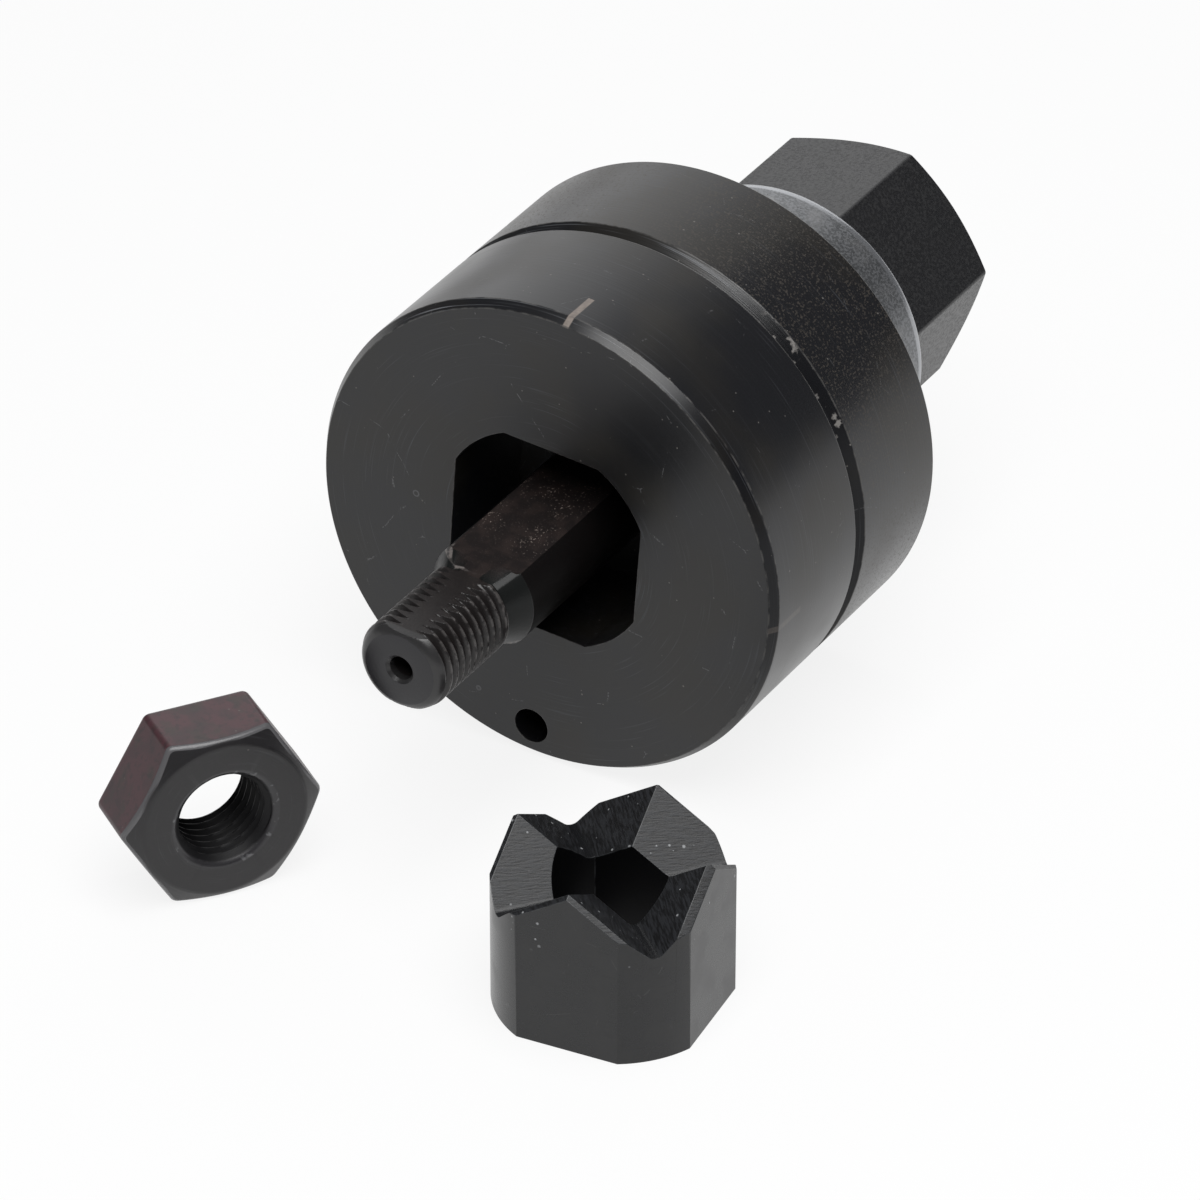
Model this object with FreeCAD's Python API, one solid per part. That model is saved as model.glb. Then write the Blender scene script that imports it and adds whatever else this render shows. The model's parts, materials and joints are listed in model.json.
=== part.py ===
import FreeCAD, Part
import math
import os

# Knockout punch set: a round cutting die with its draw stud and ball thrust
# bearing, a loose four-eared punch and the nut that holds it on the stud.
# Millimetres, +Z up. The origin is on the floor, under the middle of the set.
# The die lies on its side with its axis along Y and its cutting face to -Y.
# Stations along the die's axis are counted from the cutting face.

V = FreeCAD.Vector
AXIS = V(0, 1, 0)
UP = V(0, 0, 1)

# Cutting die ring
DIE_R = 25.0
FACE_CHAMFER_R = 0.6
FACE_CHAMFER_L = 1.0
RING_END = 16.17
GROOVE_CHAMFER = 0.92
OPENING_FLATS = 20.3
OPENING_D = 22.76
OPENING_DEPTH = 12.5
DIE_ROLL = 4.15
SPIGOT_R = 17.0
SPIGOT_LEAD = 0.4

# Die base behind the ring
BASE_END = 31.1
BOSS_R = 14.0
BOSS_L = 4.5
BOSS_LEAD = 0.4
GUIDE_END = 24.0
RELIEF_R = 7.0
GUIDE_LEAD = 0.5

# Locating pin between ring and base
PIN_R = 1.8
PIN_INSET = 3.3
PIN_FROM = 9.0
PIN_TO = 25.0
PIN_EDGE = 0.3
PIN_HOLE_END = 25.6

# Draw stud
STUD_R = 5.5
STUD_FLATS = 7.94
STUD_TIP = -25.5
STUD_END = 58.0
TIP_FACE_R = 3.6
TIP_EDGE_L = 1.1
THREAD_R = 4.7
THREAD_FADE = 0.5
NECK_R = 4.1
NECK_L = 0.5
SHOULDER_FROM = -13.2
SHOULDER_TO = -10.9
END_CHAMFER = 1.0
CENTRE_R = 1.2
CENTRE_DEPTH = 4.0
CENTRE_SINK_R = 1.5

# Running clearances
STUD_FIT = 0.06
FLAT_FIT = 0.09
BALL_FIT = 0.05
MOVING_GAP = 0.35

# Ball thrust bearing
BALL_R = 2.0
BALL_COUNT = 12
BALL_CIRCLE_R = 10.75
RACE_T = 2.0
RACE_GROOVE = 0.6
RACE_EDGE = 0.3
REAR_RACE_INSET = 1.4
CAGE_T = 1.2
CAGE_WALL = 0.45

# Bearing cover
COVER_R = 15.5
COVER_END = 45.5
LIP_T = 1.0
LIP_R = 12.65
LIP_ROUND = 0.8

# Drive nut
HEX_FLATS = 24.0
HEX_END = 62.5
HEX_CORNER_ROUND = 0.5
HEX_CHAMFER_L = 1.3
HEX_CORNER_ANGLE = 8.9
HUB_R = 8.0
HUB_L = 4.6
NUT_SINK_R = 6.4
HEX_CHAMFER_ANGLE = 30.0

# Punch
PUNCH_D = 22.5
PUNCH_FLATS = 20.1
PUNCH_VALLEY = 11.0
CROWN_SLOPE = 0.9
VALLEY_ROUND = 2.0
EAR_BEVEL = 0.55
PUNCH_HOLE_FIT = 0.08
PUNCH_FLAT_FIT = 0.18
HOLE_SINK = 0.4
PUNCH_YAW = 6.24
BLANK_EXTRA = 3.0

# Punch nut
NUT_FLATS = 17.46
NUT_T = 7.4
NUT_MINOR_R = 4.2
NUT_MOUTH_R = 5.35
NUT_CHAMFER_L = 1.15
NUT_BACK_CHAMFER_L = 0.25
NUT_CORNER_ROUND = 0.8
NUT_HEADING = 145.1

# How far a cutter reaches past the solid that it cuts
OVERRUN = 1.0

# Where the three objects stand on the floor
DIE_X = -5.13
DIE_Y = -10.22
PUNCH_TO_RIGHT = 24.92
PUNCH_AHEAD = 28.84
NUT_TO_LEFT = 13.59
NUT_AHEAD = 34.51
DIE_AT = V(DIE_X, DIE_Y, DIE_R)
PUNCH_AT = V(DIE_X + PUNCH_TO_RIGHT, DIE_Y - PUNCH_AHEAD, 0)
NUT_FACE_AT = V(DIE_X - NUT_TO_LEFT, DIE_Y - NUT_AHEAD, NUT_FLATS / 2)

# Stations of the bearing stack, front to back
BOSS_END = BASE_END + BOSS_L
BALL_AT = BOSS_END + RACE_T + BALL_R - RACE_GROOVE
REAR_RACE_AT = 2 * BALL_AT - BOSS_END - RACE_T
FLANGE_AT = REAR_RACE_AT + RACE_T
FLANGE_END = COVER_END - LIP_T - MOVING_GAP
HEX_FROM = COVER_END + MOVING_GAP
HUB_FROM = FLANGE_AT - HUB_L
THREAD_BORE_R = STUD_R + STUD_FIT


def turned(profile):
    """A solid of revolution about Y from (radius, station) pairs."""
    points = [V(radius, station, 0) for radius, station in profile]
    face = Part.Face(Part.makePolygon(points + points[:1]))
    return face.revolve(V(0, 0, 0), AXIS, 360)


def double_d(radius, half_flats, start, end):
    """A round bar along Y with a flat above and a flat below."""
    bar = Part.makeCylinder(radius, end - start, V(0, start, 0), AXIS)
    slab = Part.makeBox(2 * radius, end - start, 2 * half_flats, V(-radius, start, -half_flats))
    return bar.common(slab)


def flatted_round(diameter, flats, height):
    """A round bar along Z with four flats, like the opening and the punch."""
    bar = Part.makeCylinder(diameter / 2, height)
    block = Part.makeBox(flats, flats, height, V(-flats / 2, -flats / 2, 0))
    return bar.common(block)


def hexagon(flats, height, corner_round, start):
    """A hexagonal bar along Z, flats facing up and down Y, with softened corners."""
    corner = flats / 2 / math.cos(math.radians(30))
    turns = [math.radians(60 * k) for k in range(7)]
    outline = Part.makePolygon([V(corner * math.cos(a), corner * math.sin(a), start) for a in turns])
    bar = Part.Face(outline).extrude(V(0, 0, height))
    long_edges = [e for e in bar.Edges if abs(e.tangentAt(e.FirstParameter).z) > 0.99]
    return bar.makeFillet(corner_round, long_edges)


def stood_along_y(shape):
    """Turns a shape built along Z so that it runs along Y."""
    shape.rotate(V(0, 0, 0), V(1, 0, 0), -90)
    return shape


def rolled(shape):
    """Rolls a shape about the die's axis to the angle it lies at."""
    shape.rotate(V(0, 0, 0), AXIS, DIE_ROLL)
    return shape


def die_opening():
    cutter = stood_along_y(flatted_round(OPENING_D, OPENING_FLATS, OPENING_DEPTH + 2 * OVERRUN))
    cutter.translate(V(0, -OVERRUN, 0))
    return cutter


def pin_hole():
    place = V(0, -OVERRUN, PIN_INSET - DIE_R)
    return Part.makeCylinder(PIN_R, PIN_HOLE_END + OVERRUN, place, AXIS)


def die_ring():
    step_r = DIE_R - GROOVE_CHAMFER
    ring = turned([
        (0, 0),
        (DIE_R - FACE_CHAMFER_R, 0),
        (DIE_R, FACE_CHAMFER_L),
        (DIE_R, RING_END - GROOVE_CHAMFER),
        (step_r, RING_END),
        (SPIGOT_R, RING_END),
        (SPIGOT_R, OPENING_DEPTH),
        (0, OPENING_DEPTH),
    ])
    return rolled(ring.cut(die_opening()).cut(pin_hole()))


def die_base():
    step_r = DIE_R - GROOVE_CHAMFER
    base = turned([
        (0, OPENING_DEPTH),
        (SPIGOT_R - SPIGOT_LEAD, OPENING_DEPTH),
        (SPIGOT_R, OPENING_DEPTH + SPIGOT_LEAD),
        (SPIGOT_R, RING_END),
        (step_r, RING_END),
        (DIE_R, RING_END + GROOVE_CHAMFER),
        (DIE_R, BASE_END - GROOVE_CHAMFER),
        (step_r, BASE_END),
        (BOSS_R, BASE_END),
        (BOSS_R, BOSS_END - BOSS_LEAD),
        (BOSS_R - BOSS_LEAD, BOSS_END),
        (RELIEF_R, BOSS_END),
        (RELIEF_R, GUIDE_END),
        (0, GUIDE_END),
    ])
    half_hole = STUD_FLATS / 2 + FLAT_FIT
    guide = double_d(STUD_R + STUD_FIT, half_hole, OPENING_DEPTH - OVERRUN, GUIDE_END + OVERRUN)
    mouth_r = STUD_R + STUD_FIT + GUIDE_LEAD
    mouth = turned([
        (0, OPENING_DEPTH),
        (mouth_r, OPENING_DEPTH),
        (mouth_r - GUIDE_LEAD, OPENING_DEPTH + GUIDE_LEAD),
        (0, OPENING_DEPTH + GUIDE_LEAD),
    ])
    slab_half = half_hole + GUIDE_LEAD
    slab = Part.makeBox(4 * STUD_R, 2 * GUIDE_LEAD, 2 * slab_half, V(-2 * STUD_R, OPENING_DEPTH, -slab_half))
    return rolled(base.cut(guide).cut(mouth.common(slab)).cut(pin_hole()))


def locating_pin():
    pin = turned([
        (0, PIN_FROM),
        (PIN_R - PIN_EDGE, PIN_FROM),
        (PIN_R, PIN_FROM + PIN_EDGE),
        (PIN_R, PIN_TO - PIN_EDGE),
        (PIN_R - PIN_EDGE, PIN_TO),
        (0, PIN_TO),
    ])
    pin.translate(V(0, 0, PIN_INSET - DIE_R))
    return rolled(pin)


def draw_stud():
    thread_end = SHOULDER_FROM - NECK_L
    stud = turned([
        (0, STUD_TIP),
        (TIP_FACE_R, STUD_TIP),
        (THREAD_R, STUD_TIP + TIP_EDGE_L),
        (THREAD_R, thread_end - THREAD_FADE),
        (NECK_R, thread_end),
        (NECK_R, SHOULDER_FROM),
        (STUD_R, SHOULDER_TO),
        (STUD_R, STUD_END - END_CHAMFER),
        (STUD_R - END_CHAMFER, STUD_END),
        (0, STUD_END),
    ])
    length = STUD_END - STUD_TIP
    slab = Part.makeBox(4 * STUD_R, length, STUD_FLATS, V(-2 * STUD_R, STUD_TIP, -STUD_FLATS / 2))
    drilled = turned([
        (0, STUD_TIP),
        (CENTRE_SINK_R, STUD_TIP),
        (CENTRE_R, STUD_TIP + (CENTRE_SINK_R - CENTRE_R)),
        (CENTRE_R, STUD_TIP + CENTRE_DEPTH - CENTRE_R),
        (0, STUD_TIP + CENTRE_DEPTH),
    ])
    return rolled(stud.common(slab).cut(drilled))


def race(start, bore_r, outer_r):
    """A flat washer with a ball groove on the side that faces the balls."""
    washer = turned([
        (bore_r, start + RACE_EDGE),
        (bore_r + RACE_EDGE, start),
        (outer_r - RACE_EDGE, start),
        (outer_r, start + RACE_EDGE),
        (outer_r, start + RACE_T - RACE_EDGE),
        (outer_r - RACE_EDGE, start + RACE_T),
        (bore_r + RACE_EDGE, start + RACE_T),
        (bore_r, start + RACE_T - RACE_EDGE),
    ])
    groove = Part.makeTorus(BALL_CIRCLE_R, BALL_R + BALL_FIT, V(0, BALL_AT, 0), AXIS)
    return washer.cut(groove)


def ball_place(index):
    angle = 2 * math.pi * index / BALL_COUNT
    return V(BALL_CIRCLE_R * math.cos(angle), BALL_AT, BALL_CIRCLE_R * math.sin(angle))


def ball_cage():
    band = BALL_R + CAGE_WALL
    start = BALL_AT - CAGE_T / 2
    ring = turned([
        (BALL_CIRCLE_R - band, start),
        (BALL_CIRCLE_R + band, start),
        (BALL_CIRCLE_R + band, start + CAGE_T),
        (BALL_CIRCLE_R - band, start + CAGE_T),
    ])
    for index in range(BALL_COUNT):
        place = ball_place(index) - V(0, CAGE_T, 0)
        ring = ring.cut(Part.makeCylinder(BALL_R + BALL_FIT, 2 * CAGE_T, place, AXIS))
    return ring


def bearing_cover():
    cover = turned([
        (BOSS_R, BASE_END),
        (COVER_R, BASE_END),
        (COVER_R, COVER_END),
        (LIP_R, COVER_END),
        (LIP_R, COVER_END - LIP_T),
        (BOSS_R, COVER_END - LIP_T),
    ])
    rim = [e for e in cover.Edges
           if isinstance(e.Curve, Part.Circle)
           and abs(e.Curve.Radius - COVER_R) < 1e-6 and abs(e.Curve.Center.y - COVER_END) < 1e-6]
    return cover.makeFillet(LIP_ROUND, rim)


def drive_nut():
    apothem = HEX_FLATS / 2
    corner = apothem / math.cos(math.radians(30))
    slope = math.tan(math.radians(HEX_CHAMFER_ANGLE))
    bar = hexagon(HEX_FLATS, HEX_END - HEX_FROM, HEX_CORNER_ROUND, HEX_FROM)
    bar.rotate(V(0, 0, 0), UP, -HEX_CORNER_ANGLE)
    end_r = corner - HEX_CHAMFER_L / slope
    envelope = turned([
        (0, HEX_FROM),
        (end_r, HEX_FROM),
        (corner, HEX_FROM + HEX_CHAMFER_L),
        (corner, HEX_END - HEX_CHAMFER_L),
        (end_r, HEX_END),
        (0, HEX_END),
    ])
    head = stood_along_y(bar).common(envelope)
    stem = turned([
        (0, HUB_FROM),
        (HUB_R, HUB_FROM),
        (HUB_R, FLANGE_AT),
        (BOSS_R - 2 * MOVING_GAP, FLANGE_AT),
        (BOSS_R - 2 * MOVING_GAP, FLANGE_END),
        (LIP_R - MOVING_GAP, FLANGE_END),
        (LIP_R - MOVING_GAP, HEX_FROM + HEX_CHAMFER_L),
        (0, HEX_FROM + HEX_CHAMFER_L),
    ])
    sink = NUT_SINK_R - THREAD_BORE_R
    bore = turned([
        (0, HUB_FROM - OVERRUN),
        (THREAD_BORE_R, HUB_FROM - OVERRUN),
        (THREAD_BORE_R, HEX_END - sink),
        (NUT_SINK_R, HEX_END),
        (NUT_SINK_R, HEX_END + OVERRUN),
        (0, HEX_END + OVERRUN),
    ])
    return head.fuse(stem).cut(bore).removeSplitter()


def crown_groove(turn):
    """A V groove with a rounded root, running across the punch at a diagonal."""
    top = PUNCH_VALLEY + CROWN_SLOPE * PUNCH_D
    tilt = math.atan(CROWN_SLOPE)
    centre_z = PUNCH_VALLEY + VALLEY_ROUND / math.cos(tilt)
    touch = VALLEY_ROUND * math.sin(tilt)
    touch_z = centre_z - VALLEY_ROUND * math.cos(tilt)
    start = -PUNCH_D
    left = V(-touch, start, touch_z)
    right = V(touch, start, touch_z)
    root = Part.Arc(left, V(0, start, centre_z - VALLEY_ROUND), right).toShape()
    sides = Part.makePolygon([right, V(PUNCH_D, start, top), V(-PUNCH_D, start, top), left])
    groove = Part.Face(Part.Wire([root] + sides.Edges)).extrude(V(0, 2 * PUNCH_D, 0))
    groove.rotate(V(0, 0, 0), UP, turn)
    return groove


def punch():
    peak = PUNCH_VALLEY + CROWN_SLOPE * PUNCH_FLATS / 2 / math.sqrt(2)
    body = flatted_round(PUNCH_D, PUNCH_FLATS, peak + BLANK_EXTRA)
    for turn in (45, -45):
        body = body.cut(crown_groove(turn))
    side = PUNCH_FLATS / 2
    ear_edges = []
    for edge in body.Edges:
        points = [v.Point for v in edge.Vertexes]
        straight = len(points) == 2 and isinstance(edge.Curve, Part.Line)
        on_flat = straight and any(
            all(abs(getattr(p, axis) - sign * side) < 1e-4 for p in points) for axis in "xy" for sign in (1, -1))
        if on_flat and abs(points[0].z - points[1].z) > 1 and min(p.z for p in points) > PUNCH_VALLEY:
            ear_edges.append(edge)
    body = body.makeChamfer(EAR_BEVEL, ear_edges)
    hole_r = STUD_R + PUNCH_HOLE_FIT
    half_hole = STUD_FLATS / 2 + PUNCH_FLAT_FIT
    hole = Part.makeCylinder(hole_r, 2 * peak, V(0, 0, -OVERRUN))
    slab = Part.makeBox(4 * hole_r, 2 * half_hole, 2 * peak, V(-2 * hole_r, -half_hole, -OVERRUN))
    sink = Part.makeCone(hole_r + HOLE_SINK, hole_r, HOLE_SINK)
    body = body.cut(hole.common(slab)).cut(sink)
    body.rotate(V(0, 0, 0), UP, PUNCH_YAW)
    body.translate(PUNCH_AT)
    return body


def punch_nut():
    corner = NUT_FLATS / 2 / math.cos(math.radians(30))
    slope = math.tan(math.radians(HEX_CHAMFER_ANGLE))
    bar = hexagon(NUT_FLATS, NUT_T, NUT_CORNER_ROUND, 0)
    envelope = turned([
        (0, 0),
        (corner - NUT_CHAMFER_L / slope, 0),
        (corner, NUT_CHAMFER_L),
        (corner, NUT_T - NUT_BACK_CHAMFER_L),
        (corner - NUT_BACK_CHAMFER_L / slope, NUT_T),
        (0, NUT_T),
    ])
    sink = NUT_MOUTH_R - NUT_MINOR_R
    bore = turned([
        (0, -OVERRUN),
        (NUT_MOUTH_R, -OVERRUN),
        (NUT_MOUTH_R, 0),
        (NUT_MINOR_R, sink),
        (NUT_MINOR_R, NUT_T - sink),
        (NUT_MOUTH_R, NUT_T),
        (NUT_MOUTH_R, NUT_T + OVERRUN),
        (0, NUT_T + OVERRUN),
    ])
    body = stood_along_y(bar).common(envelope).cut(bore)
    body.rotate(V(0, 0, 0), UP, NUT_HEADING - 90)
    body.translate(NUT_FACE_AT)
    return body


pieces = {
    "die_ring": die_ring(),
    "die_base": die_base(),
    "locating_pin": locating_pin(),
    "draw_stud": draw_stud(),
    "bearing_cover": bearing_cover(),
    "front_race": race(BOSS_END, HUB_R + MOVING_GAP, BOSS_R),
    "rear_race": race(REAR_RACE_AT, HUB_R, BOSS_R - REAR_RACE_INSET),
    "ball_cage": ball_cage(),
    "drive_nut": drive_nut(),
}
for number in range(BALL_COUNT):
    pieces["bearing_ball_%02d" % (number + 1)] = Part.makeSphere(BALL_R, ball_place(number))
for shape in pieces.values():
    shape.translate(DIE_AT)
pieces["punch"] = punch()
pieces["punch_nut"] = punch_nut()

os.makedirs("parts", exist_ok=True)
for name, shape in pieces.items():
    shape.exportStep("parts/" + name + ".step")
    print(name, len(shape.Solids), shape.isValid(), round(shape.Volume, 1), shape.BoundBox)
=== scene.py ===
import json
import math
import bmesh
import bpy
from mathutils import Matrix, Vector


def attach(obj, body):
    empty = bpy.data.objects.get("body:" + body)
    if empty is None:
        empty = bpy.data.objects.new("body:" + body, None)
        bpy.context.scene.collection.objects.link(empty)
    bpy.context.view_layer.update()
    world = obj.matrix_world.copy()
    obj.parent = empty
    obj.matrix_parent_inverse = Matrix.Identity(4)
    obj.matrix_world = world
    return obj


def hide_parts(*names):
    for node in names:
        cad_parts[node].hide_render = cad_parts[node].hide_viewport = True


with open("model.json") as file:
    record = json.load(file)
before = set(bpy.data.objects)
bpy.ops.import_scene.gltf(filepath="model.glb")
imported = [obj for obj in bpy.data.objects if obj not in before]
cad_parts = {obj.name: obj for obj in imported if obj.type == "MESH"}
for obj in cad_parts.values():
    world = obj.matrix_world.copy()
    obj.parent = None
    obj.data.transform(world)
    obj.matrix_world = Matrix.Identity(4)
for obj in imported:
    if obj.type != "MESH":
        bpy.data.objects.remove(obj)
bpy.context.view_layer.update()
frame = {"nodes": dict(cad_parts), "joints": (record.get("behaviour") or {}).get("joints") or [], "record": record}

# The camera stands to the right of the cutting face and looks down at it
# through a long lens, so the die, the punch and the nut keep their sizes.
mm = 0.001
nut_turn = next(j for j in frame["joints"] if j["name"] == "drive_nut_turn")
face_centre = Vector(nut_turn["pos_m"])
camera_from_face = Vector((330.74, -537.71, 409.21)) * mm
camera_heading = math.radians(31.12)
camera_pitch = math.radians(33.38)

camera_data = bpy.data.cameras.new("camera")
camera_data.lens = 240.0
camera_data.sensor_width = 36.0
camera_data.clip_end = 10.0
camera = bpy.data.objects.new("camera", camera_data)
camera.location = face_centre + camera_from_face
camera.rotation_euler = (math.pi / 2 - camera_pitch, 0.0, camera_heading)
bpy.context.scene.collection.objects.link(camera)
bpy.context.scene.camera = camera


# The studio is a pale floor in a dim room with a white backdrop, one large
# soft light overhead and a white card behind. The floor keeps a faint shadow.
def node(tree, kind, sockets=None, **settings):
    """Adds a shader node with its settings and its unlinked socket values."""
    made = tree.nodes.new(kind)
    for setting, value in settings.items():
        setattr(made, setting, value)
    for socket, value in (sockets or {}).items():
        made.inputs[socket].default_value = value
    return made


def new_material(name):
    material = bpy.data.materials.new(name)
    material.use_nodes = True
    material.node_tree.nodes.clear()
    return material, material.node_tree


def soft_light(name, place, aim, width, height, power):
    light_data = bpy.data.lights.new(name, "AREA")
    light_data.shape = "RECTANGLE"
    light_data.size = width
    light_data.size_y = height
    light_data.energy = power
    light = bpy.data.objects.new(name, light_data)
    light.location = place
    light.rotation_euler = (Vector(aim) - Vector(place)).to_track_quat("-Z", "Y").to_euler()
    bpy.context.scene.collection.objects.link(light)


floor_half = 3.0
paper_white = 0.82
floor_glow = 0.86
room_glow = 0.13
floor_mesh = bpy.data.meshes.new("floor")
floor_corners = [(-floor_half, -floor_half, 0), (floor_half, -floor_half, 0),
                 (floor_half, floor_half, 0), (-floor_half, floor_half, 0)]
floor_mesh.from_pydata(floor_corners, [], [(0, 1, 2, 3)])
floor = bpy.data.objects.new("floor", floor_mesh)
bpy.context.scene.collection.objects.link(floor)

floor_paper, tree = new_material("floor paper")
paper = node(tree, "ShaderNodeBsdfDiffuse", {"Color": (paper_white, paper_white, paper_white, 1)})
glow = node(tree, "ShaderNodeEmission", {"Color": (1, 1, 1, 1), "Strength": 1.0})
path = node(tree, "ShaderNodeLightPath")
seen = node(tree, "ShaderNodeMath", operation="ADD", use_clamp=True)
share = node(tree, "ShaderNodeMath", {1: floor_glow}, operation="MULTIPLY")
mix = node(tree, "ShaderNodeMixShader")
surface = node(tree, "ShaderNodeOutputMaterial")
tree.links.new(path.outputs["Is Camera Ray"], seen.inputs[0])
tree.links.new(path.outputs["Is Glossy Ray"], seen.inputs[1])
tree.links.new(seen.outputs[0], share.inputs[0])
tree.links.new(share.outputs[0], mix.inputs[0])
tree.links.new(paper.outputs[0], mix.inputs[1])
tree.links.new(glow.outputs[0], mix.inputs[2])
tree.links.new(mix.outputs[0], surface.inputs[0])
floor_mesh.materials.append(floor_paper)

studio = bpy.data.worlds.new("studio")
studio.use_nodes = True
tree = studio.node_tree
tree.nodes.clear()
path = node(tree, "ShaderNodeLightPath")
dim_room = node(tree, "ShaderNodeBackground",
                {"Color": (0.93, 0.95, 1.0, 1), "Strength": room_glow})
white_wall = node(tree, "ShaderNodeBackground", {"Color": (1, 1, 1, 1), "Strength": 1.0})
mix = node(tree, "ShaderNodeMixShader")
surface = node(tree, "ShaderNodeOutputWorld")
tree.links.new(path.outputs["Is Camera Ray"], mix.inputs[0])
tree.links.new(dim_room.outputs[0], mix.inputs[1])
tree.links.new(white_wall.outputs[0], mix.inputs[2])
tree.links.new(mix.outputs[0], surface.inputs[0])
bpy.context.scene.world = studio

soft_light("overhead softbox", place=(0.2, -0.24, 0.72), aim=(0.2, -0.24, 0.0),
           width=0.58, height=0.8, power=7.5)
soft_light("white card behind", place=(-0.42, 0.8, 0.42), aim=(0.0, 0.0, 0.02),
           width=1.0, height=0.7, power=2.6)


# The cutting die ring is ground tool steel with a black oxide finish. It is
# turned on a lathe, its four-flatted opening is wire cut, and a dowel hole is
# drilled through its face. Two pale ticks on its rim show where the flats are.
roll = math.radians(4.15)
die_place = Matrix.Translation(face_centre) @ Matrix.Rotation(roll, 4, "Y") @ Matrix.Scale(mm, 4)
turn_steps = 288
die_r = 25.0
groove_chamfer = 0.92
ring_end = 16.17
opening_depth = 12.5
opening_r = 11.38
opening_half_flats = 10.15
face_chamfer_r = 0.6
face_chamfer_l = 1.0
spigot_r = 17.0
pin_r = 1.8
pin_from_axis = 21.7
die_ease = 0.09


def linked(name, mesh):
    piece = bpy.data.objects.new(name, mesh)
    bpy.context.scene.collection.objects.link(piece)
    return piece


def skinned(name, rows, wrap=True):
    """Joins rows of points into a closed skin. A row of one point is a pole."""
    shape = bmesh.new()
    rings = [[shape.verts.new(point) for point in row] for row in rows]
    for near, far in zip(rings, rings[1:]):
        count = max(len(near), len(far))
        for k in range(count if wrap else count - 1):
            after = (k + 1) % count
            if len(near) == 1:
                shape.faces.new((near[0], far[after], far[k]))
            elif len(far) == 1:
                shape.faces.new((near[k], near[after], far[0]))
            else:
                shape.faces.new((near[k], near[after], far[after], far[k]))
    bmesh.ops.recalc_face_normals(shape, faces=shape.faces)
    mesh = bpy.data.meshes.new(name)
    shape.to_mesh(mesh)
    shape.free()
    return linked(name, mesh)


def round_row(radius, station, steps=turn_steps):
    """A ring of points round the local Y axis, or one point on it."""
    if radius == 0:
        return [(0.0, station, 0.0)]
    turns = [2 * math.pi * k / steps for k in range(steps)]
    return [(radius * math.cos(a), station, radius * math.sin(a)) for a in turns]


def turned(name, profile, steps=turn_steps):
    """A lathe part from (radius, station) pairs that start and end on the axis."""
    return skinned(name, [round_row(radius, station, steps) for radius, station in profile])


def tube(name, profile, steps=turn_steps):
    """A lathe part whose profile closes on itself, away from the axis."""
    return skinned(name,
                   [round_row(radius, station, steps) for radius,
                    station in profile + profile[:1]])


def prism(name, outline, low, high):
    """A bar along local Y from an outline of (x, z) points."""
    shape = bmesh.new()
    ends = [[shape.verts.new((x, station, z)) for x, z in outline] for station in (low, high)]
    for k in range(len(outline)):
        after = (k + 1) % len(outline)
        shape.faces.new((ends[0][k], ends[0][after], ends[1][after], ends[1][k]))
    shape.faces.new(ends[0])
    shape.faces.new(ends[1])
    bmesh.ops.recalc_face_normals(shape, faces=shape.faces)
    mesh = bpy.data.meshes.new(name)
    shape.to_mesh(mesh)
    shape.free()
    return linked(name, mesh)


def bake_modifiers(piece):
    """Turns a piece's modifiers into its mesh."""
    bpy.context.view_layer.update()
    graph = bpy.context.evaluated_depsgraph_get()
    mesh = bpy.data.meshes.new_from_object(piece.evaluated_get(graph))
    piece.modifiers.clear()
    piece.data = mesh


def carve(piece, cutter, how="DIFFERENCE"):
    """Cuts, joins or intersects a piece with another, which is used up."""
    boolean = piece.modifiers.new("carve", "BOOLEAN")
    boolean.operation = how
    boolean.solver = "EXACT"
    boolean.object = cutter
    bake_modifiers(piece)
    bpy.data.objects.remove(cutter)


def eased(piece, width, angle=28, segments=2):
    """Softens a piece's edges by a small width. The new faces take the second finish."""
    shape = bmesh.new()
    shape.from_mesh(piece.data)
    bmesh.ops.remove_doubles(shape, verts=shape.verts, dist=0.004)
    bmesh.ops.dissolve_limit(shape, angle_limit=math.radians(0.1), verts=shape.verts,
                             edges=shape.edges)
    shape.to_mesh(piece.data)
    shape.free()
    piece.data.materials.clear()
    piece.data.materials.append(None)
    piece.data.materials.append(None)
    bevel = piece.modifiers.new("eased", "BEVEL")
    bevel.width = width
    bevel.segments = segments
    bevel.limit_method = "ANGLE"
    bevel.angle_limit = math.radians(angle)
    bevel.use_clamp_overlap = False
    bevel.material = 1
    bake_modifiers(piece)


def placed(piece, place, finishes, body, slot, *cad_nodes):
    """Puts a finished piece in the row frame in place of its CAD nodes."""
    piece.data.transform(place)
    for index, finish in enumerate(finishes):
        if index < len(piece.data.materials):
            piece.data.materials[index] = finish
        else:
            piece.data.materials.append(finish)
    for face in piece.data.polygons:
        face.use_smooth = True
    piece.data.set_sharp_from_angle(angle=math.radians(24))
    weighted = piece.modifiers.new("weighted normals", "WEIGHTED_NORMAL")
    weighted.keep_sharp = True
    bake_modifiers(piece)
    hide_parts(*cad_nodes)
    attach(piece, body)


def flatted_outline(radius, half_flats, arc_steps=28):
    """The outline of a round with four flats."""
    edge = math.acos(half_flats / radius)
    points = []
    for quarter in range(4):
        for k in range(arc_steps + 1):
            turn = quarter * math.pi / 2 + edge + (math.pi / 2 - 2 * edge) * k / arc_steps
            points.append((radius * math.cos(turn), radius * math.sin(turn)))
    return points


def shared_group(name, inputs, outputs):
    """A shader node group with named inputs and outputs."""
    group = bpy.data.node_groups.new(name, "ShaderNodeTree")
    for socket, kind, value in inputs:
        made = group.interface.new_socket(socket, in_out="INPUT", socket_type=kind)
        if value is not None:
            made.default_value = value
    for socket, kind in outputs:
        group.interface.new_socket(socket, in_out="OUTPUT", socket_type=kind)
    return group, group.nodes.new("NodeGroupInput"), group.nodes.new("NodeGroupOutput")


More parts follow.
